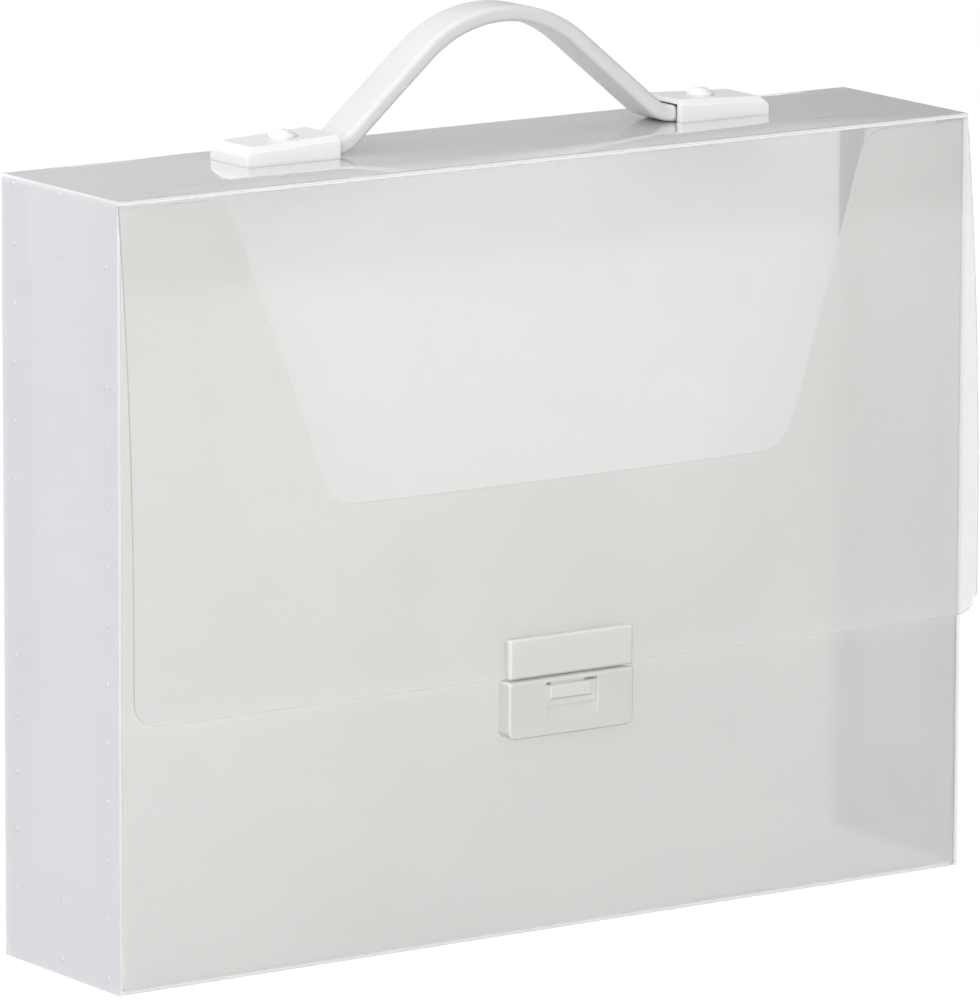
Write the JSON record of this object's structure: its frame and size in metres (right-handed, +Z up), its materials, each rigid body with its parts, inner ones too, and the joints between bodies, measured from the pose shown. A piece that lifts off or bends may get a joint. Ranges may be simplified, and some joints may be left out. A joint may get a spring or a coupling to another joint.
{
  "type": "document carrying case",
  "caption": "Translucent folded-sheet carrying case for papers, with a hinged lid, a front flap, a slide latch and an arched carrying handle.",
  "frame": {"origin": "centre of the case's base, on the surface that it stands on", "axes": "+X is the width, the front with the flap and latch faces -Y, +Z is up"},
  "size_m": [0.328, 0.0792, 0.297],
  "materials": {
    "case_sheet": "frosted translucent polypropylene sheet, smooth and slightly glossy at grazing angles",
    "latch_moulding": "off-white moulded plastic, satin",
    "handle_moulding": "white moulded plastic, satin",
    "strap_moulding": "white flexible moulded plastic, satin",
    "spring_steel": "bright spring wire"
  },
  "bodies": {
    "case_body": {"body_wrap": "case_sheet", "side_panel_left": "case_sheet", "side_panel_right": "case_sheet", "latch_housing": "latch_moulding", "latch_backing": "latch_moulding", "latch_spring": "spring_steel"},
    "lid": {"lid_panel": "case_sheet", "handle_holder_left": "handle_moulding", "handle_holder_right": "handle_moulding", "handle_backing_left": "handle_moulding", "handle_backing_right": "handle_moulding", "handle_rivets": "handle_moulding", "strap": "strap_moulding"},
    "flap": {"front_flap": "case_sheet", "strike_plate": "latch_moulding", "strike_backing": "latch_moulding"},
    "latch_button": {"latch_slider": "latch_moulding"},
    "strap_slide_left": {"strap_end_left": "strap_moulding"},
    "strap_slide_right": {"strap_end_right": "strap_moulding"}
  },
  "joints": [
    {"name": "lid_swing", "type": "hinge", "parent": "case_body", "child": "lid", "pos_m": [0, 0.0335, 0.2515], "axis": [-1, 0, 0], "range_deg": [0, 180]},
    {"name": "flap_swing", "type": "hinge", "parent": "lid", "child": "flap", "pos_m": [0, -0.0344, 0.2515], "axis": [-1, 0, 0], "range_deg": [0, 180]},
    {"name": "latch_press", "type": "slide", "parent": "case_body", "child": "latch_button", "axis": [0, 0, -1], "range_m": [-0.0012, 0.0018], "stiffness_N_per_m": 250, "springref_m": -0.005, "deforming": ["latch_spring"]},
    {"name": "strap_left_out", "type": "slide", "parent": "lid", "child": "strap_slide_left", "axis": [-1, 0, 0], "range_m": [0, 0.007], "stiffness_N_per_m": 150, "deforming": ["strap"]},
    {"name": "strap_right_out", "type": "slide", "parent": "lid", "child": "strap_slide_right", "axis": [1, 0, 0], "range_m": [0, 0.007]}
  ],
  "couplings": [
    {"joint": "strap_right_out", "follows": "strap_left_out", "ratio": 1}
  ]
}
